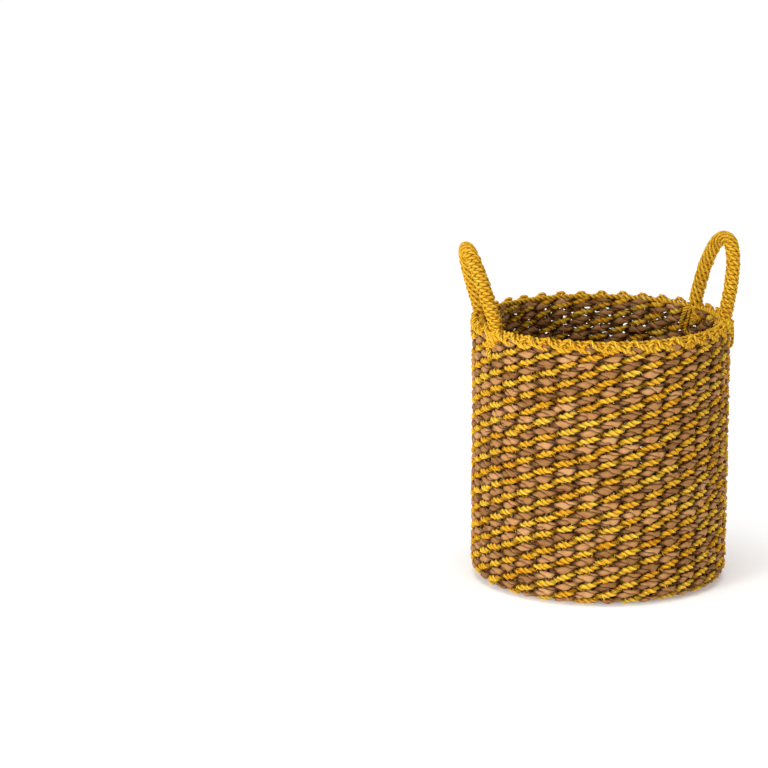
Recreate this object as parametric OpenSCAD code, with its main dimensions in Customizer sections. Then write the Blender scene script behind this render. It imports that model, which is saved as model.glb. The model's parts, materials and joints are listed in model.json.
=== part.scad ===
// Round twined laundry basket with two wrapped rope handles that flex where they join the rim.
// +Z is up. The origin is at the centre of the base, on the surface that the basket stands on.
// The handles stand at +X and -X, and -Y is the front.

/* [Weave] */
// Outer radius of the wall
wall_r = 180; // [170:1:190]
// Thickness of the weave, from its outer face to its inner face
weave_t = 18; // [17:0.5:20]
// Radius of the rounded corner between the base and the wall
corner_r = 22; // [21:1:26]
// Height of one row of the wall
row_pitch = 11.3; // [10.8:0.1:12]
// Rows in each band of the wall
band_rows = 5; // [4:1:6]

/* [Stakes] */
// Number of stakes, odd so that the two weaving strands change places from row to row
stake_count = 37; // [33:2:39]
// Diameter of a stake
stake_d = 4; // [3.5:0.1:4.2]
// Direction of the first stake, anticlockwise from +X
first_stake = 7.5; // [0:0.5:9.5]

/* [Base] */
// Radius of the start disc, in the middle of the base
centre_r = 30; // [30:1:36]
// Rows in the inner ring of the base
inner_rows = 5; // [4:1:6]
// Rows in the outer ring of the base
outer_rows = 6; // [5:1:7]

/* [Rim] */
// Distance between the two feet of a border loop
loop_span = 12; // [10:0.5:13]
// Diameter of the cord in a border loop
loop_d = 5.6; // [4:0.2:6]
// Height of the border under its loops
border_h = 6.2; // [5.6:0.1:6.6]

/* [Handles] */
// Outer diameter of the wrapped handle
handle_d = 21; // [20:0.5:22]
// Diameter of the rope inside the wrapping
core_d = 12.4; // [10:0.2:14]
// Distance between the centres of a handle's two legs, at the rim
handle_span = 117; // [112:1:124]
// Height of the centre of a handle's top arch above its roots
arch_z = 49; // [42:3.5:52.5]
// Direction of the right handle, anticlockwise from +X
right_azimuth = 4.5; // [0:0.5:8]
// Outward lean of the right handle
right_lean = 12.5; // [8:0.5:15]
// Direction of the left handle, anticlockwise from +X
left_azimuth = 178.5; // [172:0.5:184]
// Outward lean of the left handle
left_lean = 17; // [12:0.5:17]

/* [Tails] */
// Length of a tail down the wall
tail_l = 32; // [20:1:45]
// Diameter of a tail on the outside of the wall
outer_tail_d = 10; // [8:0.5:11]
// Diameter of each cord of a tail on the inside of the wall
inner_tail_d = 6.4; // [5:0.2:6.6]
// Angle between neighbouring cords of an inside tail
tail_fan = 9; // [6:1:12]

/* [Hidden] */

band_count = 6;
slip = 0.2;                                        // gap between a stake and the rows around it
ring_gap = 0.3;                                    // gap between one ring of the base and the next
socket_gap = 0.6;                                  // gap round a handle's root knot
lashing_t = 2.9;                                   // thickness of the lashing round a root knot

mid_r = wall_r - weave_t / 2;                      // radius at which the stakes stand
foot_r = wall_r - corner_r;                        // radius of the flat part of the base
bend_r = corner_r - weave_t / 2;                   // bend of a stake round the corner
stake_step = 360 / stake_count;
base_row = (foot_r - centre_r) / (inner_rows + outer_rows);
base_split_r = centre_r + inner_rows * base_row;
band_h = band_rows * row_pitch;
weave_top = corner_r + band_count * band_h;
border_top = weave_top + border_h;

knot_r = handle_d / 2;
socket_r = knot_r + socket_gap;
lashing_r = knot_r + lashing_t;
pivot_z = weave_top + knot_r + 0.5;                // height of the axis that a handle flexes about
half_span = handle_span / 2;
pivot_r = sqrt(mid_r * mid_r - half_span * half_span);
leg_angle = asin(half_span / mid_r);               // from a handle's direction to each of its legs
shoulder = [0.96, 0.28];                           // direction of the joint between side arc and top arch
side_r = half_span + arch_z * shoulder[0] / shoulder[1];
arch_r = side_r - arch_z / shoulder[1];
leg_angles = [for (azimuth = [right_azimuth, left_azimuth]) for (side = [-1, 1]) azimuth + side * leg_angle];
loop_reach = asin((lashing_r + loop_span / 2 + loop_d / 2 + 1) / mid_r);

yellow = "#cd9c33";
natural = "#a47233";
mixed = "#b08034";

$fn = 48;

// Angle between two directions, from 0 to 180
function apart(a, b) = abs((((a - b) % 360) + 540) % 360 - 180);

// True where no handle leg crowds a border loop out
function is_clear(angle) = min([for (leg = leg_angles) apart(angle, leg)]) > loop_reach;

// Section of a strip of twined rows that lie side by side along +X, with a groove between neighbours
module row_section(rows, pitch) {
    bulge_r = pitch / 2 + 0.75;
    centre_y = weave_t / 2 - bulge_r;
    intersection() {
        union() {
            translate([0, -centre_y - 1])
                square([rows * pitch, 2 * centre_y + 2]);
            for (row = [0 : rows - 1])
                for (side = [-1, 1])
                    translate([(row + 0.5) * pitch, side * centre_y])
                        circle(r = bulge_r);
        }
        translate([0, -weave_t])
            square([rows * pitch, 2 * weave_t]);
    }
}

// Places a copy at every stake
module each_stake() {
    for (i = [0 : stake_count - 1])
        rotate([0, 0, first_stake + i * stake_step])
            children();
}

// Radial rod at the height of the stakes in the base
module spoke(r, from, to) {
    translate([from, 0, weave_t / 2])
        rotate([0, 90, 0])
            cylinder(r = r, h = to - from);
}

// Bend that carries a stake from the base into the wall, running on a little past both ends
module stake_bend(r, overrun) {
    translate([foot_r, 0, corner_r])
        rotate([90, 0, 0])
            rotate([0, 0, -90 - overrun])
                rotate_extrude(angle = 90 + 2 * overrun)
                    translate([bend_r, 0])
                        circle(r = r);
}

// Puts the handle's own frame in place: X outwards, Y along the rim, Z up the handle
module at_handle(azimuth, lean) {
    rotate([0, 0, azimuth])
        translate([pivot_r, 0, pivot_z])
            rotate([0, lean, 0])
                children();
}

// Places a copy at each of the two legs of a handle, facing away from the basket's axis
module at_legs(azimuth) {
    for (side = [-1, 1])
        rotate([0, 0, azimuth + side * leg_angle])
            children();
}

// Tube of the section given, bent round a radius about the origin and kept where the outline lies
module bent_tube(r, outline) {
    intersection() {
        rotate_extrude($fn = 4 * r)
            translate([r, 0])
                children();
        translate([0, 0, -handle_d])
            linear_extrude(2 * handle_d)
                polygon(outline);
    }
}

// Whole arch of a handle: two long side arcs and a tighter arc between them
module handle_arch() {
    reach = 300;
    corner = reach * shoulder;
    rotate([90, 0, 90]) {
        translate([0, arch_z])
            bent_tube(arch_r, [[0, 0], corner, [0, 2 * reach], [-corner[0], corner[1]]])
                children();
        for (turn = [0, 1])
            mirror([turn, 0])
                translate([half_span - side_r, 0])
                    bent_tube(side_r, [[0, 0], [reach, 0], corner])
                        children();
    }
}

module base_centre() {
    color(yellow)
        cylinder(r = centre_r - ring_gap, h = weave_t);
}

// Ring of rows in the base, threaded on the spokes
module base_ring(from, rows) {
    difference() {
        rotate_extrude()
            translate([from, weave_t / 2])
                difference() {
                    row_section(rows, base_row);
                    translate([rows * base_row - ring_gap, -weave_t])
                        square([2 * ring_gap, 2 * weave_t]);
                }
        each_stake()
            spoke(stake_d / 2 + slip, from - 2, from + rows * base_row + 2);
    }
}

module base_weave_inner() {
    color(mixed)
        base_ring(centre_r, inner_rows);
}

module base_weave_outer() {
    color(mixed)
        base_ring(base_split_r, outer_rows);
}

// Two rows that turn the corner from the base into the wall
module foot_weave() {
    row_r = weave_t / 2 + 0.9;
    color(mixed)
        difference() {
            rotate_extrude()
                intersection() {
                    for (turn = [22.5, 67.5])
                        translate([foot_r + bend_r * sin(turn), corner_r - bend_r * cos(turn)])
                            circle(r = row_r);
                    translate([foot_r, 0])
                        square([corner_r, corner_r]);
                }
            each_stake()
                stake_bend(stake_d / 2 + slip, 4);
        }
}

// One band of the wall, counted from 1 at the foot
module wall_weave(band) {
    bottom = corner_r + (band - 1) * band_h;
    color(mixed)
        difference() {
            rotate_extrude()
                translate([mid_r, bottom])
                    rotate([0, 0, 90])
                        row_section(band_rows, row_pitch);
            each_stake()
                translate([mid_r, 0, bottom - 1])
                    cylinder(d = stake_d + 2 * slip, h = band_h + 2);
        }
}

// Stakes, each running out from the start disc, round the corner and up to the border
module stakes() {
    color(natural)
        each_stake() {
            spoke(stake_d / 2, centre_r + ring_gap, foot_r);
            stake_bend(stake_d / 2, 0);
            translate([mid_r, 0, corner_r])
                cylinder(d = stake_d, h = weave_top - corner_r);
        }
}

// Border rope laid on the last row, in four lengths between the handles' legs
module rim_border() {
    rope_r = weave_t / 2 + 0.2;
    color(yellow)
        difference() {
            rotate_extrude()
                translate([mid_r, weave_top])
                    intersection() {
                        translate([0, border_h / 3])
                            circle(r = rope_r);
                        translate([-weave_t, 0])
                            square([2 * weave_t, border_h]);
                    }
            for (azimuth = [right_azimuth, left_azimuth])
                at_legs(azimuth)
                    translate([mid_r, 0, weave_top - 1])
                        cylinder(r = lashing_r + slip, h = border_h + 2);
        }
}

// Loops that the border throws up over the stakes
module rim_loops() {
    color(yellow)
        for (i = [0 : stake_count - 1])
            if (is_clear(first_stake + i * stake_step))
                rotate([0, 0, first_stake + i * stake_step])
                    translate([mid_r, 0, border_top])
                        rotate([90, 0, 90])
                            rotate_extrude(angle = 180)
                                translate([loop_span / 2, 0])
                                    circle(d = loop_d);
}

// Rope that gives a handle its stiffness
module handle_core(azimuth, lean) {
    color(natural)
        at_handle(azimuth, lean)
            handle_arch()
                circle(d = core_d);
}

// Twine wound closely round the rope
module handle_wrap(azimuth, lean) {
    color(yellow)
        at_handle(azimuth, lean)
            handle_arch()
                difference() {
                    circle(d = handle_d);
                    circle(d = core_d + 2 * slip);
                }
}

// Knotted ends of a handle, which turn in the lashings as it flexes
module handle_root_knots(azimuth, lean) {
    color(yellow)
        at_handle(azimuth, lean)
            for (side = [-1, 1])
                translate([0, side * half_span, 0])
                    intersection() {
                        sphere(r = knot_r);
                        translate([-handle_d, -handle_d, -2 * handle_d])
                            cube([2 * handle_d, 2 * handle_d, 2 * handle_d]);
                    }
}

// Lashings that tie a handle's roots down to the rim
module handle_lashings(azimuth) {
    color(yellow)
        at_legs(azimuth)
            difference() {
                translate([mid_r, 0, weave_top])
                    cylinder(r = lashing_r, h = border_h);
                translate([mid_r, 0, pivot_z])
                    sphere(r = socket_r);
            }
}

// Ends of the lashing that fan out down the inside of the wall
module handle_inner_tails(azimuth) {
    color(yellow)
        at_legs(azimuth)
            intersection() {
                for (cord = [-1, 0, 1])
                    translate([mid_r - weave_t / 2 - slip, cord * (inner_tail_d + 2), weave_top])
                        rotate([cord * tail_fan, 0, 0])
                            translate([0, 0, -tail_l - 1])
                                cylinder(d = inner_tail_d, h = tail_l + 3);
                translate([0, 0, weave_top - tail_l])
                    cylinder(r = mid_r - weave_t / 2 - slip, h = tail_l, $fn = 360);
            }
}

// Ends of the lashing that run down the outside of the wall
module handle_outer_tails(azimuth) {
    color(yellow)
        at_legs(azimuth)
            difference() {
                translate([wall_r - 1, 0, weave_top - tail_l])
                    cylinder(d = outer_tail_d, h = tail_l);
                translate([0, 0, weave_top - tail_l - 1])
                    cylinder(r = wall_r + slip, h = tail_l + 2, $fn = 360);
            }
}

base_centre();
base_weave_inner();
base_weave_outer();
foot_weave();
wall_weave(1);  // wall_weave_1
wall_weave(2);  // wall_weave_2
wall_weave(3);  // wall_weave_3
wall_weave(4);  // wall_weave_4
wall_weave(5);  // wall_weave_5
wall_weave(6);  // wall_weave_6
stakes();
rim_border();
rim_loops();
handle_core(right_azimuth, right_lean);  // right_handle_core
handle_wrap(right_azimuth, right_lean);  // right_handle_wrap
handle_root_knots(right_azimuth, right_lean);  // right_handle_root_knots
handle_lashings(right_azimuth);  // right_handle_lashings
handle_inner_tails(right_azimuth);  // right_handle_inner_tails
handle_outer_tails(right_azimuth);  // right_handle_outer_tails
handle_core(left_azimuth, left_lean);  // left_handle_core
handle_wrap(left_azimuth, left_lean);  // left_handle_wrap
handle_root_knots(left_azimuth, left_lean);  // left_handle_root_knots
handle_lashings(left_azimuth);  // left_handle_lashings
handle_inner_tails(left_azimuth);  // left_handle_inner_tails
handle_outer_tails(left_azimuth);  // left_handle_outer_tails
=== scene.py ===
"""Looks of a twined laundry basket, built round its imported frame: two strands twined over hidden stakes, a
looped border, two handles wound with twine, and the lashings and tails that hold them."""

import json
from math import atan2, cos, hypot, pi, radians, sin, sqrt, tau

import bpy
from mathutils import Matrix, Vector


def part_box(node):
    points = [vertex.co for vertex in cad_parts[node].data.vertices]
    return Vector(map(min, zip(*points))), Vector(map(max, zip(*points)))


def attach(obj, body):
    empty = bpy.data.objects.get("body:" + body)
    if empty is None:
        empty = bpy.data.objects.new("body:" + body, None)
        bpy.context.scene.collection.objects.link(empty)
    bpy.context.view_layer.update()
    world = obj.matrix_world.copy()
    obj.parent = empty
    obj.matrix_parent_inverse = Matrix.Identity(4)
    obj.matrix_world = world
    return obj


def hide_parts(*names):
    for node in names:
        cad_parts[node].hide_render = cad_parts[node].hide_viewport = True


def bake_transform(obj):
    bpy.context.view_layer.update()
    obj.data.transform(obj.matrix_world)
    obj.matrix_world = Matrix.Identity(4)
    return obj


bl_info = {
    "name": "Twined laundry basket",
    "version": (1, 0, 0),
    "blender": (4, 5, 0),
    "location": "View3D > Sidebar > Basket",
    "description": "Twines a basket of cord and leaf strip round a packed frame",
    "category": "Add Mesh",
}

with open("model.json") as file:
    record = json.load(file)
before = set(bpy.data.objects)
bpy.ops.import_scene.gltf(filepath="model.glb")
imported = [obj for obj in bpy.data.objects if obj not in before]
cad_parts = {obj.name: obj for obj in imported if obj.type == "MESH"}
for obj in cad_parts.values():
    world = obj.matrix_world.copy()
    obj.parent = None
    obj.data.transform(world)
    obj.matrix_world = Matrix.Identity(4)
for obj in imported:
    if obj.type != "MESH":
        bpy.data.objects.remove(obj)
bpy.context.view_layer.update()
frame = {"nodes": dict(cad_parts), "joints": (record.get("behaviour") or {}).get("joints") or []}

MM = 0.001
ROOT_BODY = "basket"
HANDLES = ("right", "left")
BANDS = 6
BAND_ROWS = 5
CORNER_ROWS = 2
INNER_ROWS = 5
OUTER_ROWS = 6
BASE_ROWS = INNER_ROWS + OUTER_ROWS


def half_width(node):
    """Half of a CAD node's width along X, in metres."""
    low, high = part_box(node)
    return (high.x - low.x) / 2


WALL_R = half_width("wall_weave_1")
CENTRE_GAP = 0.3 * MM
CENTRE_R = half_width("base_centre") + CENTRE_GAP
WEAVE_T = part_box("base_centre")[1].z
CORNER_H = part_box("wall_weave_1")[0].z
WEAVE_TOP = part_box(f"wall_weave_{BANDS}")[1].z
MID_R = WALL_R - WEAVE_T / 2
FOOT_R = WALL_R - CORNER_H
BEND_R = CORNER_H - WEAVE_T / 2
ROW_PITCH = (WEAVE_TOP - CORNER_H) / (BANDS * BAND_ROWS)
STAKES = 37
FIRST_STAKE = radians(7.5)
REACH_FLATNESS = 0.17
RISE_FLATNESS = 0.15
FIBRE_SLENDERNESS = 0.09
FIBRE_CLEARANCE = 7 * MM
DISC_TURNS = 4.6
DISC_POINTS = 120
DISC_START = 0.06
DISC_END = 1.31
ARCH_SQUARENESS = 2.3


# ---------------------------------------------------------------- node trees


class Number:
    """A socket that Python's operators work on, by adding Math nodes to its tree."""

    def __init__(self, graph, socket):
        self.graph = graph
        self.socket = socket

    def __add__(self, other):
        return self.graph.math("ADD", self, other)

    def __sub__(self, other):
        return self.graph.math("SUBTRACT", self, other)

    def __rsub__(self, other):
        return self.graph.math("SUBTRACT", other, self)

    def __mul__(self, other):
        if isinstance(other, Arrow):
            return other * self
        return self.graph.math("MULTIPLY", self, other)

    def __truediv__(self, other):
        return self.graph.math("DIVIDE", self, other)

    def __rtruediv__(self, other):
        return self.graph.math("DIVIDE", other, self)

    __radd__ = __add__
    __rmul__ = __mul__


class Arrow(Number):
    """A vector or colour socket that Python's operators work on, by adding Vector Math nodes to its tree."""

    def __add__(self, other):
        return self.graph.vector("ADD", self, other)

    def __sub__(self, other):
        return self.graph.vector("SUBTRACT", self, other)

    def __mul__(self, other):
        if isinstance(other, (Arrow, tuple)):
            return self.graph.vector("MULTIPLY", self, other)
        return self.graph.vector("SCALE", self, scale=other)

    __radd__ = __add__
    __rmul__ = __mul__


class Graph:
    """Adds nodes to one tree, and wraps what they put out."""

    def __init__(self, tree):
        self.tree = tree

    def wrap(self, socket):
        return (Arrow if socket.type in ("VECTOR", "RGBA") else Number)(self, socket)

    def put(self, socket, value):
        if isinstance(value, Number):
            self.tree.links.new(value.socket, socket)
        elif isinstance(value, bpy.types.NodeSocket):
            self.tree.links.new(value, socket)
        else:
            socket.default_value = value

    def node(self, kind, settings=None, sockets=None):
        """A node of that type, with its settings made first and then the values or links of its sockets."""
        node = self.tree.nodes.new(kind)
        for name, setting in (settings or {}).items():
            if name == "stops":
                self.set_stops(node.color_ramp, setting)
            else:
                setattr(node, name, setting)
        for key, value in (sockets or {}).items():
            self.put(node.inputs[key], value)
        return node

    def set_stops(self, ramp, stops):
        while len(ramp.elements) < len(stops):
            ramp.elements.new(1.0)
        for element, (place, colour) in zip(ramp.elements, stops):
            element.position = place
            element.color = (*colour, 1.0)

    def out(self, kind, settings=None, sockets=None, output=0):
        return self.wrap(self.node(kind, settings, sockets).outputs[output])

    def math(self, operation, *values):
        return self.out("ShaderNodeMath", {"operation": operation}, dict(enumerate(values)))

    def vector(self, operation, *values, scale=None):
        sockets = dict(enumerate(values))
        if scale is not None:
            sockets["Scale"] = scale
        output = "Value" if operation in ("DOT_PRODUCT", "LENGTH") else "Vector"
        return self.out("ShaderNodeVectorMath", {"operation": operation}, sockets, output)

    def sin(self, value):
        return self.math("SINE", value)

    def cos(self, value):
        return self.math("COSINE", value)

    def xyz(self, x, y, z):
        return self.out("ShaderNodeCombineXYZ", None, {0: x, 1: y, 2: z})

    def cross(self, a, b):
        return self.vector("CROSS_PRODUCT", a, b)

    def unit(self, a):
        return self.vector("NORMALIZE", a)

    def noise(self, where, scale, detail=2.0, colour=False):
        """Noise from 0 to 1, or three of them in a vector."""
        sockets = {"Vector": where, "Scale": scale, "Detail": detail}
        output = "Color" if colour else "Fac"
        return self.out("ShaderNodeTexNoise", {"noise_dimensions": "3D"}, sockets, output)


class Geometry(Graph):
    """A geometry tree, made with its named inputs."""

    KINDS = {float: "NodeSocketFloat", int: "NodeSocketInt", tuple: "NodeSocketVector"}

    def __init__(self, name, inputs, sources=("Geometry",)):
        super().__init__(bpy.data.node_groups.new(name, "GeometryNodeTree"))
        face = self.tree.interface
        for source in sources:
            face.new_socket(source, in_out="INPUT", socket_type="NodeSocketGeometry")
        for label, default in inputs.items():
            if default is bpy.types.Material:
                face.new_socket(label, in_out="INPUT", socket_type="NodeSocketMaterial")
                continue
            socket = face.new_socket(label, in_out="INPUT", socket_type=self.KINDS[type(default)])
            socket.default_value = default
        face.new_socket("Geometry", in_out="OUTPUT", socket_type="NodeSocketGeometry")
        self.entry = self.node("NodeGroupInput")

    def given(self, label):
        return self.wrap(self.entry.outputs[label])

    def capture(self, geometry, **fields):
        """Fixes fields on the geometry's points, and returns the geometry and them."""
        node = self.node("GeometryNodeCaptureAttribute", {"domain": "POINT"}, {"Geometry": geometry})
        kept = []
        for label, field in fields.items():
            kind = "VECTOR" if isinstance(field, Arrow) else "FLOAT"
            node.capture_items.new(kind, label)
            self.put(node.inputs[label], field)
            kept.append(self.wrap(node.outputs[label]))
        return node.outputs["Geometry"], kept

    def store(self, geometry, name, field):
        kind = "FLOAT_VECTOR" if isinstance(field, Arrow) else "FLOAT"
        settings = {"data_type": kind, "domain": "POINT"}
        sockets = {"Geometry": geometry, "Name": name, "Value": field}
        return self.node("GeometryNodeStoreNamedAttribute", settings, sockets).outputs[0]

    def group(self, tree, sockets):
        return self.node("GeometryNodeGroup", {"node_tree": tree}, sockets).outputs[0]

    def moved(self, geometry, position):
        sockets = {"Geometry": geometry, "Position": position}
        return self.node("GeometryNodeSetPosition", None, sockets).outputs[0]

    def finish(self, geometry, material=None):
        """Ends the tree, in Realize Instances and Set Material where it is a whole piece."""
        if material is not None:
            geometry = self.node("GeometryNodeRealizeInstances", None, {0: geometry}).outputs[0]
            sockets = {"Geometry": geometry, "Material": material}
            geometry = self.node("GeometryNodeSetMaterial", None, sockets).outputs[0]
        self.node("NodeGroupOutput", None, {"Geometry": geometry})
        return self.tree


def cord_section():
    """Skins a curve as a cord of plies. Attribute fibre is the place along and across the straightened cord.
    Look holds the cord's tone, how far a point stands out of the grooves, and how lit it is painted, with
    painted shade where it dives between the stakes and along its edges."""
    inputs = {
        "Facing": (0.0, 0.0, 1.0),
        "Twist": 0.0,
        "Run": 0.0,
        "Tone": 0.5,
        "Half Width": 0.003,
        "Half Thickness": 0.003,
        # These two inputs paint light and shade: how lit the cord is painted, and how much painted shade
        # darkens its edges.
        "Lift": 1.0,
        "Edge Shade": 0.0,
        "Plies": 2,
        "Groove": 0.8,
        "Lap": 0.0,
        "Around": 12,
        "Frays": 0.0,
        "Fray Length": 0.0068,
    }
    g = Geometry("cord_section", inputs, ("Curve",))
    tangent = g.out("GeometryNodeInputTangent")
    position = g.out("GeometryNodeInputPosition")
    curve, kept = g.capture(
        g.given("Curve"), centre=position, along=tangent, facing=g.given("Facing"), twist=g.given("Twist"),
        run=g.given("Run"), tone=g.given("Tone"), lift=g.given("Lift"), wide=g.given("Half Width"),
        thick=g.given("Half Thickness"),
    )
    centre, along, facing, twist, run, tone, lift, wide, thick = kept
    around = g.given("Around")
    sockets = {"Resolution": around, "Radius": 1.0}
    ring = g.node("GeometryNodeCurvePrimitiveCircle", {"mode": "RADIUS"}, sockets)
    turned = g.out("GeometryNodeInputIndex") / around * tau
    ring, (angle,) = g.capture(ring.outputs[0], angle=turned)
    skin = g.node("GeometryNodeCurveToMesh", None, {"Curve": curve, "Profile Curve": ring, "Fill Caps": True})
    sector = tau / g.given("Plies")
    off_ply = (g.math("FRACT", angle / sector + 0.5) - 0.5) * sector
    groove = g.given("Groove")
    across = groove * g.sin(off_ply)
    bulge = groove * g.cos(off_ply) + g.math("SQRT", g.math("MAXIMUM", 1 - across * across, 0.01))
    lap = (g.math("FRACT", angle / sector) - 0.5) * g.given("Lap")
    swell = bulge / (1 + groove) * (1 + lap)
    side = g.unit(g.cross(facing, along))
    face = g.cross(along, side)
    turned = angle + twist
    reach = side * (g.cos(turned) * swell * wide) + face * (g.sin(turned) * swell * thick)
    mesh = g.moved(skin.outputs[0], centre + reach)
    fibre = g.xyz(run, g.cos(angle) * swell * wide, g.sin(angle) * swell * wide)
    mesh = g.store(mesh, "fibre", fibre)
    # Painted shade: darker where the strand dives between the stakes, and towards its upper and lower edges.
    painted_shading = lift * (1 - (1 - g.math("ABSOLUTE", g.sin(turned))) * g.given("Edge Shade"))
    mesh = g.store(mesh, "look", g.xyz(tone, swell, painted_shading))
    mesh = g.node("GeometryNodeSetShadeSmooth", None, {0: mesh}).outputs[0]
    lay = along * 0.6 + face * (g.cos(turned) * 0.8) - side * (g.sin(turned) * 0.8)
    mesh, (lay,) = g.capture(mesh, lay=lay)
    frays = loose_fibres(g, mesh, lay, g.given("Frays"), g.given("Fray Length"))
    join = g.node("GeometryNodeJoinGeometry")
    for part in (frays, mesh):
        g.tree.links.new(part, join.inputs[0])
    return g.finish(join.outputs[0])


def loose_fibres(g, mesh, lay, density, length):
    """Short tapered fibres that stand off a cord, along the lay of its plies, clear of the floor."""
    height = g.node("ShaderNodeSeparateXYZ", None, {0: g.out("GeometryNodeInputPosition")}).outputs["Z"]
    clear = g.math("GREATER_THAN", g.wrap(height), FIBRE_CLEARANCE)
    sockets = {"Mesh": mesh, "Density": density * clear, "Seed": 4}
    points = g.node("GeometryNodeDistributePointsOnFaces", None, sockets)
    chance = g.node("FunctionNodeRandomValue", {"data_type": "FLOAT_VECTOR"}, {"Seed": 9})
    pick = g.node("ShaderNodeSeparateXYZ", None, {0: chance.outputs[0]}).outputs
    sense = g.math("ROUND", g.wrap(pick[0])) * 2.0 - 1
    lean = lay * sense + g.wrap(points.outputs["Normal"]) * (g.wrap(pick[1]) * 0.7 + 0.15)
    turn = g.node("FunctionNodeAlignRotationToVector", {"axis": "Z"}, {"Vector": lean})
    sockets = {"Vertices": 3, "Radius Top": 0.0, "Radius Bottom": FIBRE_SLENDERNESS, "Depth": 1.0}
    fibre = g.node("GeometryNodeMeshCone", None, sockets)
    grown = g.node("GeometryNodeInstanceOnPoints", None, {
        "Points": points.outputs[0], "Instance": fibre.outputs[0], "Rotation": turn.outputs[0],
        "Scale": length * (g.wrap(pick[2]) * 0.8 + 0.4),
    })
    fibres = g.node("GeometryNodeRealizeInstances", None, {0: grown.outputs[0]}).outputs[0]
    fibres = g.store(fibres, "fibre", g.out("GeometryNodeInputPosition"))
    return g.store(fibres, "look", g.xyz(0.8, 1.0, 1.0))


def twined_strand(section):
    """One of the two strands of the weave, in a spiral out along the base, round the corner and up the wall.
    Rows are counted from the start disc. The strand passes outside one stake and inside the next."""
    inputs = {
        "First Row": 0.0,
        "Last Row": 1.0,
        "Steps": 18,
        "Span": 1,
        "Strand": 0.0,
        "Reach": 0.005,
        "Rise": 0.0036,
        "Half Width": 0.0034,
        "Half Thickness": 0.0034,
        "Squeeze": 0.35,
        "Turns": 2.0,
        "Plies": 2,
        "Groove": 0.8,
        "Lap": 0.0,
        "Around": 12,
        "Frays": 0.0,
        "Wander": 0.001,
        "Unevenness": 0.1,
        "Seed": 0,
        "Material": bpy.types.Material,
    }
    g = Geometry("twined_strand", inputs)
    first = g.given("First Row")
    rows = g.given("Last Row") - first
    count = rows * (STAKES * g.given("Steps")) / g.given("Span") + 1
    line = g.node("GeometryNodeMeshLine", None, {"Count": count}).outputs[0]
    curve = g.node("GeometryNodeMeshToCurve", None, {"Mesh": line}).outputs[0]
    row = first + rows * (g.out("GeometryNodeInputIndex") / (count - 1))
    stitch = row * STAKES / g.given("Span") + g.given("Strand")
    turn = row * tau + FIRST_STAKE
    radial = g.xyz(g.cos(turn), g.sin(turn), 0.0)
    slip = g.noise(radial * 2.2 + g.xyz(0.0, 0.0, row * 0.9), 1.0, 1.0) - 0.5
    phase = stitch * pi + slip * g.given("Wander") * 1500.0
    up = (0.0, 0.0, 1.0)
    corner = g.math("MINIMUM", g.math("MAXIMUM", (row - BASE_ROWS) / CORNER_ROWS, 0.0), 1.0) * (pi / 2)
    base_pitch = (FOOT_R - CENTRE_R) / BASE_ROWS
    radius = g.math("MINIMUM", row, float(BASE_ROWS)) * base_pitch + CENTRE_R + g.sin(corner) * BEND_R
    climb = g.math("MAXIMUM", row - (BASE_ROWS + CORNER_ROWS), 0.0) * ROW_PITCH
    top = WEAVE_TOP - CORNER_H - 3 * MM
    climb = g.out("ShaderNodeMath", {"operation": "SMOOTH_MIN"}, {0: climb, 1: top, 2: 4 * MM})
    height = climb - g.cos(corner) * BEND_R + CORNER_H
    upwards = g.vector("SCALE", up, scale=g.sin(corner)) + radial * g.cos(corner)
    outwards = radial * g.sin(corner) - g.vector("SCALE", up, scale=g.cos(corner))
    middle = radial * radius + g.vector("SCALE", up, scale=height)
    drift = g.noise(middle, 22.0, colour=True) - (0.5, 0.5, 0.5)
    parts = g.node("ShaderNodeSeparateXYZ", None, {0: drift}).outputs
    wander = g.given("Wander")
    loose = g.sin(corner)
    reach = g.given("Reach") * (g.cos(phase) - g.cos(phase * 3.0) * REACH_FLATNESS) / (1 - REACH_FLATNESS)
    place = middle + outwards * (reach + g.wrap(parts[0]) * wander * loose * 2.0)
    rise = g.given("Rise") * (g.sin(phase) - g.sin(phase * 3.0) * RISE_FLATNESS) / (1 + RISE_FLATNESS)
    place = place + upwards * (rise + g.wrap(parts[1]) * wander * 4.0)
    own = g.noise(place + g.xyz(g.given("Strand") * 7.0 + g.given("Seed"), 0.0, 0.0), 90.0, 1.0)
    place = place + upwards * ((own - 0.5) * wander)
    curve = g.moved(curve, place)
    crossing = g.sin(phase) * g.sin(phase)
    size = g.noise(g.xyz(stitch * 0.9, g.given("Strand") * 9.0, g.given("Seed")), 1.0) - 0.5
    size = size * g.given("Unevenness") * 4.0 + 1.0
    tone = g.node(
        "FunctionNodeRandomValue", {"data_type": "FLOAT"},
        {"ID": g.math("FLOOR", stitch + 0.5) + g.given("Strand") * 5000.0, "Seed": g.given("Seed")},
    ).outputs[1]
    mesh = g.group(section, {
        "Curve": curve,
        "Facing": outwards,
        "Twist": stitch * g.given("Turns") * tau + (own - 0.5) * 3.0,
        "Run": stitch * 0.03,
        "Tone": tone,
        # Painted shade where the strand dives between the stakes and along its upper and lower edges.
        "Lift": g.math("MAXIMUM", g.cos(phase), g.cos(phase) * -0.75),
        "Edge Shade": 0.85,
        "Frays": g.given("Frays"),
        "Half Width": g.given("Half Width") * size * (1 - g.given("Squeeze") * crossing),
        "Half Thickness": g.given("Half Thickness") * size * (1 + crossing * 0.35),
        "Plies": g.given("Plies"),
        "Groove": g.given("Groove"),
        "Lap": g.given("Lap"),
        "Around": g.given("Around"),
    })
    return g.finish(mesh, g.given("Material"))


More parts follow.
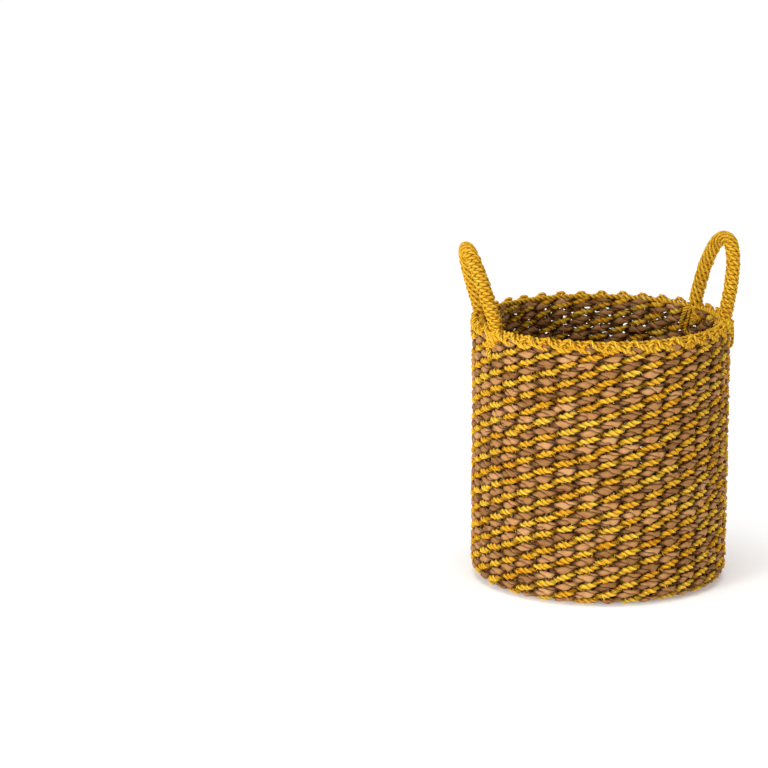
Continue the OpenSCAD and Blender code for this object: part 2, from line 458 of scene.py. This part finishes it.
def laid_cord(section):
    """Cords laid along the paths that the modifier is given, copied round the basket's axis."""
    inputs = {
        "Copies": 1,
        "Half Width": 0.003,
        "Step": 0.002,
        "Pitch": 0.013,
        "Plies": 2,
        "Groove": 0.8,
        "Lap": 0.25,
        "Around": 10,
        "Frays": 2500.0,
        # How lit the cord is painted: below 1 the whole cord is painted in shade.
        "Lift": 1.0,
        "Unevenness": 0.08,
        "Wander": 0.001,
        "Seed": 0,
        "Material": bpy.types.Material,
    }
    g = Geometry("laid_cord", inputs)
    path = g.node("GeometryNodeMeshToCurve", None, {"Mesh": g.given("Geometry")}).outputs[0]
    path = g.node("GeometryNodeCurveSplineType", {"spline_type": "CATMULL_ROM"}, {"Curve": path}).outputs[0]
    path = g.node("GeometryNodeResampleCurve", {"mode": "LENGTH"}, {"Curve": path, "Length": g.given("Step")})
    sockets = {"Count": g.given("Copies"), "Offset": (0.0, 0.0, 0.0)}
    line = g.node("GeometryNodeMeshLine", None, sockets).outputs[0]
    spin = g.xyz(0.0, 0.0, g.out("GeometryNodeInputIndex") * tau / g.given("Copies"))
    spin = g.node("FunctionNodeEulerToRotation", None, {0: spin}).outputs[0]
    sockets = {"Points": line, "Instance": path.outputs[0], "Rotation": spin}
    copies = g.node("GeometryNodeInstanceOnPoints", None, sockets)
    curve = g.node("GeometryNodeRealizeInstances", None, {0: copies.outputs[0]}).outputs[0]
    position = g.out("GeometryNodeInputPosition")
    drift = g.noise(position + g.xyz(g.given("Seed") * 3.0, 0.0, 0.0), 30.0, colour=True) - (0.5, 0.5, 0.5)
    curve = g.moved(curve, position + drift * (g.given("Wander") * 2.0))
    run = g.out("GeometryNodeSplineParameter", output="Length")
    own = g.noise(position + g.xyz(0.0, g.given("Seed") * 5.0, 0.0), 60.0)
    size = (own - 0.5) * g.given("Unevenness") * 4.0 + 1.0
    flat = position * (1.0, 1.0, 0.0)
    mesh = g.group(section, {
        "Curve": curve,
        "Facing": g.unit(flat) + g.xyz(0.03, 0.02, 0.1),
        "Twist": run / g.given("Pitch") * tau,
        "Run": run,
        "Tone": g.noise(position, 40.0, 0.0),
        "Lift": g.given("Lift"),
        "Half Width": g.given("Half Width") * size,
        "Half Thickness": g.given("Half Width") * size,
        "Frays": g.given("Frays"),
        "Plies": g.given("Plies"),
        "Groove": g.given("Groove"),
        "Lap": g.given("Lap"),
        "Around": g.given("Around"),
    })
    return g.finish(mesh, g.given("Material"))


def wound_twine(section):
    """Twine wound closely round the path that the modifier is given, its turns leaning to meet in a spine."""
    inputs = {
        "Axis": (0.0, 1.0, 0.0),
        "Coil Radius": 0.008,
        "Turns": 40.0,
        "Steps": 26,
        "Strand": 0.0,
        "Lean": 0.005,
        "Spine": 2.0,
        "Half Width": 0.0018,
        "Half Thickness": 0.0018,
        "Pitch": 0.009,
        "Plies": 2,
        "Groove": 0.8,
        "Lap": 0.25,
        "Around": 8,
        "Frays": 2500.0,
        "Wander": 0.0006,
        "Unevenness": 0.1,
        "Seed": 0,
        "Material": bpy.types.Material,
    }
    g = Geometry("wound_twine", inputs)
    path = g.node("GeometryNodeMeshToCurve", None, {"Mesh": g.given("Geometry")}).outputs[0]
    length = g.out("GeometryNodeCurveLength", None, {0: path})
    count = g.given("Turns") * g.given("Steps") + 1
    line = g.node("GeometryNodeMeshLine", None, {"Count": count}).outputs[0]
    curve = g.node("GeometryNodeMeshToCurve", None, {"Mesh": line}).outputs[0]
    part = g.out("GeometryNodeInputIndex") / (count - 1)
    turns = part * g.given("Turns") + g.given("Strand")
    angle = turns * tau
    off_spine = g.math("ABSOLUTE", g.math("FRACT", (angle - g.given("Spine")) / tau + 0.5) - 0.5) * 2.0
    shift = (g.math("SMOOTH_MAX", off_spine, 0.12, 0.2) - 0.5) * g.given("Lean")
    along = g.math("MINIMUM", g.math("MAXIMUM", part * length + shift, 0.0), length)
    sample = g.node("GeometryNodeSampleCurve", {"mode": "LENGTH"}, {"Curves": path, "Length": along})
    centre = g.wrap(sample.outputs["Position"])
    tangent = g.wrap(sample.outputs["Tangent"])
    axis = g.given("Axis")
    normal = g.unit(g.cross(tangent, axis))
    wave = (g.noise(g.xyz(turns, g.given("Seed"), 0.0), 1.3) - 0.5) * g.given("Wander") * 4.0
    spoke = normal * g.cos(angle) + axis * g.sin(angle)
    place = centre + spoke * (g.given("Coil Radius") + wave) + tangent * (wave * 0.7)
    curve = g.moved(curve, place)
    run = turns * g.given("Coil Radius") * tau
    size = (g.noise(g.xyz(turns * 2.0, 5.0, g.given("Seed")), 1.0) - 0.5) * g.given("Unevenness") * 4.0 + 1.0
    mesh = g.group(section, {
        "Curve": curve,
        "Facing": spoke,
        "Twist": run / g.given("Pitch") * tau,
        "Run": run,
        "Tone": g.noise(g.xyz(turns, 0.0, g.given("Seed")), 1.0, 0.0),
        "Frays": g.given("Frays"),
        "Half Width": g.given("Half Width") * size,
        "Half Thickness": g.given("Half Thickness") * size,
        "Plies": g.given("Plies"),
        "Groove": g.given("Groove"),
        "Lap": g.given("Lap"),
        "Around": g.given("Around"),
    })
    return g.finish(mesh, g.given("Material"))


TREES = {"twined_strand": twined_strand, "laid_cord": laid_cord, "wound_twine": wound_twine}


def tree(name):
    """The geometry tree of that name, made once."""
    made = bpy.data.node_groups.get(name)
    if made is None:
        section = bpy.data.node_groups.get("cord_section") or cord_section()
        made = TREES[name](section)
    return made


def path_mesh(name, paths, closed=False):
    """A mesh of one chain of edges for each path, for a tree to follow."""
    points, edges = [], []
    for path in paths:
        start = len(points)
        points += [tuple(p) for p in path]
        edges += [(start + i, start + i + 1) for i in range(len(path) - 1)]
        if closed:
            edges.append((len(points) - 1, start))
    mesh = bpy.data.meshes.new(name)
    mesh.from_pydata(points, edges, [])
    return mesh


def grow(name, tree_name, paths=None, **inputs):
    """A plain mesh object from a geometry tree, with the tree's inputs given by name, such as half_width."""
    mesh = paths or bpy.data.meshes.new(name)
    piece = bpy.data.objects.new(name, mesh)
    bpy.context.scene.collection.objects.link(piece)
    modifier = piece.modifiers.new(tree_name, "NODES")
    group = tree(tree_name)
    modifier.node_group = group
    wanted = {key.replace("_", " ").title(): value for key, value in inputs.items()}
    for item in group.interface.items_tree:
        if item.in_out == "INPUT" and item.name in wanted:
            modifier[item.identifier] = wanted.pop(item.name)
    if wanted:
        raise ValueError(f"{tree_name} has no input {sorted(wanted)}")
    graph = bpy.context.evaluated_depsgraph_get()
    grown = piece.evaluated_get(graph)
    plain = bpy.data.meshes.new_from_object(grown, preserve_all_data_layers=True, depsgraph=graph)
    plain.name = name
    piece.modifiers.remove(modifier)
    piece.data = plain
    return piece


def settle(piece, body, slot, *nodes):
    """Puts a finished piece on its body and hides the CAD nodes that it stands for. The slot is not used."""
    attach(piece, body)
    if nodes:
        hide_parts(*nodes)
    return piece


# ---------------------------------------------------------------- materials


class Paint(Graph):
    """A material's tree, round one Principled shader."""

    def __init__(self, name, **uniform):
        material = bpy.data.materials.new(name)
        material.use_nodes = True
        super().__init__(material.node_tree)
        self.material = material
        self.tree.nodes.clear()
        self.shader = self.node("ShaderNodeBsdfPrincipled", None, uniform)
        self.node("ShaderNodeOutputMaterial", None, {"Surface": self.shader.outputs[0]})

    def attribute(self, name):
        return self.out("ShaderNodeAttribute", {"attribute_name": name}, output="Vector")

    def parts(self, vector):
        return [self.wrap(socket) for socket in self.node("ShaderNodeSeparateXYZ", None, {0: vector}).outputs]

    def ramp(self, factor, *stops):
        return self.out("ShaderNodeValToRGB", {"stops": stops}, {"Fac": factor}, "Color")

    def mix(self, factor, a, b, blend="MIX"):
        settings = {"data_type": "RGBA", "blend_type": blend}
        colours = [(*c, 1.0) if isinstance(c, tuple) else c for c in (a, b)]
        node = self.node("ShaderNodeMix", settings, {"Factor": factor})
        self.put(node.inputs[6], colours[0])
        self.put(node.inputs[7], colours[1])
        return self.wrap(node.outputs[2])

    def shade_of(self, lift):
        """Painted shade: from 0.08 where a strand dives between the stakes to 1 where it lies open and lit.
        """
        return self.math("MINIMUM", lift * 1.5 + 0.08, 1.0)

    def bump(self, height, strength, distance):
        sockets = {"Height": height, "Strength": strength, "Distance": distance}
        return self.out("ShaderNodeBump", None, sockets, "Normal")

    def wear(self, **sockets):
        for label, value in sockets.items():
            self.put(self.shader.inputs[label.replace("_", " ").title()], value)
        return self.material


def linear(colour, factor=1.0):
    """A display colour of three numbers from 0 to 1 as the linear one that shaders use."""
    return tuple((c / 12.92 if c <= 0.04045 else ((c + 0.055) / 1.055) ** 2.4) * factor for c in colour)


def twine_material(looks):
    """Dyed twisted fibre: streaks along the plies, painted shade in the grooves and where the strand dives
    between the stakes, changing a little by the stitch.
    """
    p = Paint("dyed_twine", **{"Specular IOR Level": 0.08})
    fibre = p.attribute("fibre")
    tone, stand, lift = p.parts(p.attribute("look"))
    streaks = p.noise(fibre * (110.0, 1300.0, 1300.0), 1.0, 4.0)
    blotch = p.noise(fibre * (50.0, 420.0, 420.0), 1.0, 2.0)
    shade = streaks * 0.5 + blotch * 0.35 + tone * 0.15
    pale = linear(looks.twine_light)
    mid = linear(looks.twine_mid)
    deep = linear(looks.twine_deep)
    colour = p.ramp(shade, (0.33, deep), (0.47, mid), (0.62, pale))
    # Painted shade in the grooves between the plies, and where the strand dives between the stakes.
    groove = p.math("POWER", p.math("MINIMUM", stand, 1.0), 1.6)
    colour = p.mix(groove, linear(looks.twine_groove_shade), colour)
    colour = p.mix(p.shade_of(lift), linear(looks.twine_groove_shade), colour)
    rough = streaks * 0.2 + 0.7
    normal = p.bump(streaks, 0.5, 0.0006)
    return p.wear(base_color=colour, roughness=rough, normal=normal)


def strip_material(looks):
    """Dried leaf strip: browns that change from stitch to stitch, with veins along it, and painted shade in
    its folds and where it dives between the stakes.
    """
    p = Paint("dried_leaf", **{"Specular IOR Level": 0.12})
    fibre = p.attribute("fibre")
    tone, stand, lift = p.parts(p.attribute("look"))
    veins = p.noise(fibre * (70.0, 1300.0, 1300.0), 1.0, 4.0)
    blotch = p.noise(fibre * (80.0, 300.0, 300.0), 1.0, 3.0)
    shade = veins * 0.3 + blotch * 0.35 + tone * 0.35
    tones = [linear(c) for c in (looks.strip_dark, looks.strip_mid, looks.strip_warm, looks.strip_light)]
    colour = p.ramp(shade, *zip((0.2, 0.42, 0.62, 0.8), tones))
    # Painted shade in the folds of the strip, and where it dives between the stakes.
    fold_shade = p.math("MINIMUM", p.math("MAXIMUM", (stand - 0.58) * 5.0, 0.0), 1.0)
    colour = p.mix(fold_shade, linear(looks.strip_fold_shade), colour)
    colour = p.mix(p.shade_of(lift), linear(looks.strip_fold_shade), colour)
    rough = veins * 0.25 + 0.45
    normal = p.bump(veins, 0.6, 0.0005)
    return p.wear(base_color=colour, roughness=rough, normal=normal)


def cane_material(looks):
    """Split cane: long grain on Object coordinates, with darker flecks."""
    p = Paint("split_cane", Roughness=0.6)
    place = p.out("ShaderNodeTexCoord", output="Object")
    grain = p.noise(place * (900.0, 900.0, 60.0), 1.0, 4.0)
    flecks = p.noise(place, 260.0, 2.0)
    shade = grain * 0.6 + flecks * 0.4
    colour = p.ramp(shade, (0.3, linear(looks.strip_dark, 0.6)), (0.6, linear(looks.strip_mid)))
    return p.wear(base_color=colour, roughness=grain * 0.3 + 0.45, normal=p.bump(grain, 0.4, 0.0004))


MATERIALS = {"dyed_twine": twine_material, "dried_leaf": strip_material, "split_cane": cane_material}


def material(name):
    """The material of that name, made once from the panel's colours."""
    made = bpy.data.materials.get(name)
    return made or MATERIALS[name](bpy.context.scene.basket_looks)


# ---------------------------------------------------------------- settings


def length(label, default, text):
    value = default * MM
    return bpy.props.FloatProperty(name=label, description=text, default=value, unit="LENGTH", precision=5)


def count(label, default, text):
    return bpy.props.IntProperty(name=label, description=text, default=default)


def colour(label, default, text):
    values = tuple(c / 255 for c in default)
    return bpy.props.FloatVectorProperty(
        name=label, description=text, default=values, size=3, min=0.0, max=1.0, subtype="COLOR_GAMMA"
    )


class BASKET_PG_weave(bpy.types.PropertyGroup):
    """Sizes of the two weaving strands."""

    cord_half: length("Cord half width", 5.2, "Half of the yellow cord's width")
    cord_thick: length("Cord half thickness", 3.7, "Half of the yellow cord's thickness")
    cord_reach: length("Cord reach", 5.2, "Distance from the stakes' line to the cord's centre")
    strip_half: length("Strip half width", 6.0, "Half of the leaf strip's width")
    strip_thick: length("Strip half thickness", 3.0, "Half of the leaf strip's thickness")
    strip_reach: length("Strip reach", 5.0, "Distance from the stakes' line to the strip's centre")
    rise: length("Rise", 3.3, "How far a strand climbs and falls about the middle of its row")
    wander: length("Wander", 1.9, "How far the rows stray from a true spiral")
    cord_steps: count("Cord steps", 20, "Rings of the cord in each stitch")
    strip_steps: count("Strip steps", 12, "Rings of the strip in each stitch")


class BASKET_PG_handles(bpy.types.PropertyGroup):
    """Sizes of the handles' winding."""

    twine_half: length("Twine half width", 3.3, "Half of the winding twine's width")
    turn_pitch: length("Turn pitch", 6.4, "Distance from one turn to the next")
    lean: length("Lean", 4.6, "How far a turn leans on its way round to the spine")


class BASKET_PG_looks(bpy.types.PropertyGroup):
    """Colours of the fibres, and of the painted shade in their grooves and folds."""

    twine_light: colour("Twine light", (255, 216, 76), "Lightest fibres of the yellow twine")
    twine_mid: colour("Twine", (244, 182, 38), "The yellow twine's own colour")
    twine_deep: colour("Twine deep", (206, 126, 10), "Darkest fibres of the yellow twine")
    # Painted shade: the colour of the twine's grooves and of its hidden, diving parts.
    twine_groove_shade: colour("Twine groove", (84, 38, 2), "Between the twine's plies")
    strip_light: colour("Strip light", (206, 162, 116), "Palest leaf strips")
    strip_warm: colour("Strip warm", (190, 138, 86), "Warm leaf strips")
    strip_mid: colour("Strip", (162, 114, 66), "The leaf strip's own colour")
    strip_dark: colour("Strip dark", (106, 66, 34), "Darkest leaf strips")
    # Painted shade: the colour of the strip's folds and of its hidden, diving parts.
    strip_fold_shade: colour("Strip fold", (52, 22, 6), "In the folds of the strip")


# ---------------------------------------------------------------- weave


def twine_rows(name, first, last, span, nodes, seed, turns=1.8):
    """Both strands of the rows from first to last, as a cord piece and a strip piece."""
    sizes = bpy.context.scene.basket_weave
    common = {"first_row": first, "last_row": last, "span": span, "rise": sizes.rise, "wander": sizes.wander}
    cord = grow(
        f"{name}_cord", "twined_strand", **common, strand=0.0, steps=sizes.cord_steps * span,
        reach=sizes.cord_reach, half_width=sizes.cord_half, half_thickness=sizes.cord_thick, squeeze=0.28,
        turns=turns, plies=2, groove=0.6, lap=0.35, around=12, frays=6000.0, unevenness=0.16, seed=seed,
        material=material("dyed_twine"),
    )
    strip = grow(
        f"{name}_strip", "twined_strand", **common, strand=1.0, steps=sizes.strip_steps * span,
        reach=sizes.strip_reach, half_width=sizes.strip_half, half_thickness=sizes.strip_thick, squeeze=0.34,
        turns=0.85, plies=2, groove=0.2, lap=0.8, around=14, frays=1500.0, unevenness=0.26, seed=seed,
        material=material("dried_leaf"),
    )
    settle(cord, ROOT_BODY, "yellow_twine", *nodes)
    settle(strip, ROOT_BODY, "natural_strip", *nodes)


def flat_coil(height):
    """A flat spiral at that height, from the middle of the base to a little under the first rows."""
    coil = []
    for i in range(DISC_POINTS):
        part = i / (DISC_POINTS - 1)
        reach = CENTRE_R * (DISC_START + (DISC_END - DISC_START) * part)
        turn = DISC_TURNS * tau * part
        coil.append(Vector((reach * cos(turn), reach * sin(turn), height)))
    return coil


class BASKET_OT_base(bpy.types.Operator):
    """Twine the base and the corner"""

    bl_idname = "basket.base"
    bl_label = "Twine the base"

    def execute(self, context):
        coils = [flat_coil(height) for height in (0.34 * WEAVE_T, 0.66 * WEAVE_T)]
        disc = grow(
            "start_disc", "laid_cord", path_mesh("start_disc", coils), half_width=4.2 * MM, step=2 * MM,
            pitch=16 * MM, plies=2, groove=0.7, around=12, unevenness=0.1, wander=0.8 * MM, seed=9,
            material=material("dyed_twine"),
        )
        settle(disc, ROOT_BODY, "yellow_twine", "base_centre")
        twine_rows("base_inner", -0.4, INNER_ROWS, 2, ["base_weave_inner"], 1, 1.4)
        twine_rows("base_outer", INNER_ROWS, BASE_ROWS, 1, ["base_weave_outer"], 2, 1.8)
        twine_rows("foot", BASE_ROWS, BASE_ROWS + CORNER_ROWS, 1, ["foot_weave"], 3)
        return {"FINISHED"}


class BASKET_OT_wall(bpy.types.Operator):
    """Twine the bands of the wall"""

    bl_idname = "basket.wall"
    bl_label = "Twine the wall"

    def execute(self, context):
        foot = BASE_ROWS + CORNER_ROWS
        for band in range(1, BANDS + 1):
            first = foot + (band - 1) * BAND_ROWS
            extra = 0.4 if band == BANDS else 0.0
            twine_rows(f"wall_{band}", first, first + BAND_ROWS + extra, 1, [f"wall_weave_{band}"], 3 + band)
        return {"FINISHED"}


class BASKET_OT_stakes(bpy.types.Operator):
    """Finish the stakes as split cane"""

    bl_idname = "basket.stakes"
    bl_label = "Finish the stakes"

    def execute(self, context):
        stakes = frame["nodes"]["stakes"]
        for slot in stakes.material_slots:
            slot.material = material("split_cane")
        return {"FINISHED"}


# ---------------------------------------------------------------- rim


def rim_point(angle, along, out, up):
    """A point near the rim: along it from an angle, out from the stakes, and up from the weave's top."""
    turn = angle + along / MID_R
    radius = MID_R + out
    return Vector((radius * cos(turn), radius * sin(turn), WEAVE_TOP + up))


class BASKET_OT_border(bpy.types.Operator):
    """Lay the border rope and its loops"""

    bl_idname = "basket.border"
    bl_label = "Lay the border"

    def execute(self, context):
        rings = []
        for out, up in ((-3.8, 3.2), (3.4, 0.8)):
            rings.append([rim_point(i * tau / 90, 0.0, out * MM, up * MM) for i in range(90)])
        rope = grow(
            "border_rope", "laid_cord", path_mesh("border_rope", rings, closed=True), half_width=4.2 * MM,
            step=1.8 * MM, pitch=17 * MM, plies=2, groove=0.8, around=12, unevenness=0.12, wander=1.2 * MM,
            seed=1,
            material=material("dyed_twine"),
        )
        settle(rope, ROOT_BODY, "yellow_twine", "rim_border")
        route = (
            (-10, 6, -7), (-9, 8, -3), (-7.6, 8.6, 1), (-4.6, 6.6, 5.2), (0, 4, 7.8), (4.6, 6.6, 5.2),
            (8, 8.6, 1), (14, 8.8, -2), (22, 8, -4.5), (30, 5, -7),
        )
        loop = [rim_point(FIRST_STAKE, *(c * MM for c in point)) for point in route]
        loops = grow(
            "border_loops", "laid_cord", path_mesh("border_loops", [loop]), copies=STAKES,
            half_width=3.2 * MM, step=1.6 * MM, pitch=15 * MM, plies=2, groove=0.65, around=10,
            unevenness=0.15, wander=1.4 * MM, seed=2,
            material=material("dyed_twine"),
        )
        settle(loops, ROOT_BODY, "yellow_twine", "rim_loops")
        return {"FINISHED"}


# ---------------------------------------------------------------- handles


class Handle:
    """Where one handle stands: its pivot line through the two roots, and its arch in its leaning plane."""

    def __init__(self, side):
        self.body = f"{side}_handle"
        joint = next(j for j in frame["joints"] if j["child"] == self.body)
        self.pivot = Vector(joint["pos_m"])
        self.along = Vector(joint["axis"]).normalized()
        core = [Vector(v.co) for v in frame["nodes"][f"{side}_handle_core"].data.vertices]
        middle = sum(core, Vector()) / len(core) - self.pivot
        self.up = (middle - self.along * middle.dot(self.along)).normalized()
        self.out = self.along.cross(self.up)
        radial = hypot(self.pivot.x, self.pivot.y)
        self.half_span = sqrt(MID_R**2 - radial**2)
        tube = (max(p.dot(self.out) for p in core) - min(p.dot(self.out) for p in core)) / 2
        self.rise = max((p - self.pivot).dot(self.up) for p in core) - tube

    def point(self, along, out, up):
        return self.pivot + self.along * along + self.out * out + self.up * up

    def arch(self, steps=72, root=0.0):
        """Points of the centreline from one root to the other, starting a little below them."""
        roundness = 2 / ARCH_SQUARENESS
        points = [self.point(self.half_span, 0.0, -root)] if root else []
        for i in range(steps + 1):
            turn = pi * i / steps
            across = cos(turn)
            sideways = self.half_span * abs(across) ** roundness * (1 if across > 0 else -1)
            points.append(self.point(sideways, 0.0, self.rise * sin(turn) ** roundness))
        if root:
            points.append(self.point(-self.half_span, 0.0, -root))
        return points

    def leg(self, side):
        """The azimuth of a leg's root."""
        root = self.point(side * self.half_span, 0.0, 0.0)
        return atan2(root.y, root.x)


class BASKET_OT_handles(bpy.types.Operator):
    """Wind the handles"""

    bl_idname = "basket.handles"
    bl_label = "Wind the handles"

    def execute(self, context):
        sizes = context.scene.basket_handles
        for seed, side in enumerate(HANDLES):
            handle = Handle(side)
            arch = handle.arch(root=6 * MM)
            run = sum((b - a).length for a, b in zip(arch, arch[1:]))
            turns = run / sizes.turn_pitch
            start = handle.point(0.0, 0.0, -7 * MM)
            end = handle.point(0.0, 0.0, 7 * MM)
            twine = grow(
                f"{side}_handle_twine", "wound_twine", path_mesh("arch", [arch]), axis=handle.out,
                coil_radius=7.7 * MM, turns=turns, steps=48, lean=sizes.lean, spine=2.2,
                half_width=sizes.twine_half * 1.15, half_thickness=sizes.twine_half * 0.9, pitch=15 * MM,
                plies=2, groove=0.75, lap=0.25, around=10, wander=0.8 * MM, unevenness=0.12, seed=seed,
                material=material("dyed_twine"),
            )
            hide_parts(f"{side}_handle_wrap", f"{side}_handle_root_knots")
            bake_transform(twine)
            rope = grow(
                # The core rope is painted darker throughout, as painted shade between the turns of twine.
                f"{side}_handle_rope", "laid_cord", path_mesh("core", [arch]), half_width=7.6 * MM,
                step=4 * MM, pitch=45 * MM, plies=3, groove=0.7, around=18, frays=0.0, lift=0.4,
                unevenness=0.0, wander=0.0,
                material=material("dyed_twine"),
            )
            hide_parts(f"{side}_handle_core")
            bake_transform(rope)
        return {"FINISHED"}


class BASKET_OT_lashings(bpy.types.Operator):
    """Tie the handles down and run out the tails"""

    bl_idname = "basket.lashings"
    bl_label = "Tie the lashings"

    def execute(self, context):
        yellow = material("dyed_twine")
        cord = {"half_width": 2.6 * MM, "step": 1.6 * MM, "pitch": 11 * MM, "around": 10, "material": yellow}
        inner = (
            ((0, -11, 4), (5, -12.5, -3), (10, -12.5, -10), (15, -12, -18), (18, -8, -25)),
            ((4, -11, 3), (9, -14, -5), (13, -13.5, -13), (18, -12, -21), (22, -7, -26)),
            ((-2, -11, 2), (-1, -13, -8), (3, -12.5, -18), (7, -12.5, -27), (6, -12, -34), (1, -8, -38)),
        )
        outer = (
            ((-3, 9, 3), (-4, 11, -5), (0, 11.4, -14), (-3, 11.2, -22), (-1, 10, -30), (-1, 5, -34)),
            ((2, 9, 2), (2, 11, -6), (-2, 11.4, -14), (2, 11.2, -21), (1, 10, -29), (2, 5, -33)),
        )
        for seed, side in enumerate(HANDLES):
            handle = Handle(side)
            legs = [handle.leg(k) for k in (-1, 1)]
            for name, routes in (("inner_tails", inner), ("outer_tails", outer)):
                paths = [
                    [rim_point(leg, *(c * MM for c in point)) for point in route]
                    for leg in legs
                    for route in routes
                ]
                tails = path_mesh(name, paths)
                piece = grow(f"{side}_{name}", "laid_cord", tails, **cord, seed=seed + 3, wander=0.8 * MM)
                settle(piece, ROOT_BODY, "yellow_twine", f"{side}_handle_{name}")
            for end, leg in zip(("near", "far"), legs):
                path = [rim_point(leg, 0.0, 1.2 * MM, up * MM) for up in (-16, -9, -2, 5)]
                outwards = Vector((cos(leg), sin(leg), 0.0))
                for layer, lean in enumerate((6, -6)):
                    lashing = grow(
                        f"{side}_{end}_lashing_{layer + 1}", "wound_twine", path_mesh("root", [path]),
                        axis=outwards, coil_radius=(8.6 + layer) * MM, turns=4.6, steps=44,
                        strand=layer * 0.5, lean=lean * MM,
                        spine=1.57, half_width=2.9 * MM, half_thickness=2.7 * MM, pitch=14 * MM, plies=2,
                        groove=0.65, lap=0.3, around=10, wander=1.2 * MM, unevenness=0.14, seed=seed + layer,
                        material=yellow,
                    )
                    settle(lashing, ROOT_BODY, "yellow_twine", f"{side}_handle_lashings")
        return {"FINISHED"}


# ---------------------------------------------------------------- stage


class BASKET_OT_stage(bpy.types.Operator):
    """Set the floor, the lights and the camera"""

    bl_idname = "basket.stage"
    bl_label = "Set the stage"

    def execute(self, context):
        scene = context.scene
        scene.view_settings.view_transform = "Standard"
        self.add_world(scene)
        self.add_floor()
        aim = Vector((0.0, 0.0, 0.2))
        self.add_light("key", aim, (-2.4, -2.0, 0.9), 1.2, 68.0)
        self.add_light("fill", aim, (1.5, -3.2, 0.6), 1.4, 20.0)
        self.add_overhead()
        self.add_camera(scene)
        return {"FINISHED"}

    def add_world(self, scene):
        world = bpy.data.worlds.new("studio")
        world.use_nodes = True
        background = world.node_tree.nodes["Background"]
        background.inputs["Color"].default_value = (1.0, 1.0, 1.0, 1.0)
        background.inputs["Strength"].default_value = 0.35
        scene.world = world

    def add_overhead(self):
        sun = bpy.data.lights.new("overhead", "SUN")
        sun.energy = 1.6
        sun.angle = radians(40)
        lamp = bpy.data.objects.new("overhead", sun)
        lamp.rotation_euler = (radians(6), radians(-4), 0.0)
        bpy.context.scene.collection.objects.link(lamp)

    def add_floor(self):
        half = 12.0
        glow = 0.25
        mesh = bpy.data.meshes.new("floor")
        corners = [(-half, -half, 0), (half, -half, 0), (half, half, 0), (-half, half, 0)]
        mesh.from_pydata(corners, [], [(0, 1, 2, 3)])
        floor = bpy.data.objects.new("floor", mesh)
        bpy.context.scene.collection.objects.link(floor)
        p = Paint("pale_floor", Roughness=0.9)
        place = p.out("ShaderNodeTexCoord", output="Object")
        grain = p.noise(place, 30.0)
        p.shader.inputs["Emission Color"].default_value = (1.0, 1.0, 1.0, 1.0)
        p.shader.inputs["Emission Strength"].default_value = glow
        tint = p.ramp(grain, (0.0, (0.88, 0.88, 0.88)), (1.0, (0.92, 0.92, 0.92)))
        mesh.materials.append(p.wear(base_color=tint))

    def add_light(self, name, aim, place, size, power):
        light = bpy.data.lights.new(name, "AREA")
        light.shape = "DISK"
        light.size = size
        light.energy = power
        lamp = bpy.data.objects.new(name, light)
        lamp.location = place
        lamp.rotation_euler = (aim - Vector(place)).to_track_quat("-Z", "Y").to_euler()
        bpy.context.scene.collection.objects.link(lamp)

    def add_camera(self, scene):
        turn = radians(-10.5)
        pitch = radians(12.73)
        back = 4.5
        aside = 0.3025
        height = 1.2886
        forward = Vector((-sin(turn), cos(turn), 0.0))
        right = Vector((cos(turn), sin(turn), 0.0))
        camera = bpy.data.objects.new("camera", bpy.data.cameras.new("camera"))
        camera.data.lens = 154.7
        camera.data.sensor_width = 36.0
        camera.location = Vector((0.0, 0.0, height)) - forward * back - right * aside
        camera.rotation_euler = (pi / 2 - pitch, 0.0, turn)
        scene.collection.objects.link(camera)
        scene.camera = camera


# ---------------------------------------------------------------- add-on


class BASKET_PT_panel(bpy.types.Panel):
    """Sizes, colours and steps of the basket"""

    bl_idname = "BASKET_PT_panel"
    bl_label = "Twined basket"
    bl_space_type = "VIEW_3D"
    bl_region_type = "UI"
    bl_category = "Basket"

    def draw(self, context):
        for operator in OPERATORS:
            self.layout.operator(operator.bl_idname)
        for group in SETTINGS:
            settings = getattr(context.scene, group)
            box = self.layout.box()
            for name in settings.bl_rna.properties.keys():
                if name not in ("rna_type", "name"):
                    box.prop(settings, name)


OPERATORS = (
    BASKET_OT_base,
    BASKET_OT_wall,
    BASKET_OT_stakes,
    BASKET_OT_border,
    BASKET_OT_handles,
    BASKET_OT_lashings,
    BASKET_OT_stage,
)
SETTINGS = {
    "basket_weave": BASKET_PG_weave,
    "basket_handles": BASKET_PG_handles,
    "basket_looks": BASKET_PG_looks,
}


def register():
    for cls in (*SETTINGS.values(), *OPERATORS, BASKET_PT_panel):
        bpy.utils.register_class(cls)
    for name, cls in SETTINGS.items():
        setattr(bpy.types.Scene, name, bpy.props.PointerProperty(type=cls))


def unregister():
    for name in SETTINGS:
        delattr(bpy.types.Scene, name)
    for cls in reversed((*SETTINGS.values(), *OPERATORS, BASKET_PT_panel)):
        bpy.utils.unregister_class(cls)


def main():
    register()
    bpy.ops.basket.stage()
    bpy.ops.basket.base()
    bpy.ops.basket.wall()
    bpy.ops.basket.stakes()
    bpy.ops.basket.border()
    bpy.ops.basket.handles()
    bpy.ops.basket.lashings()


if __name__ == "__main__":
    main()
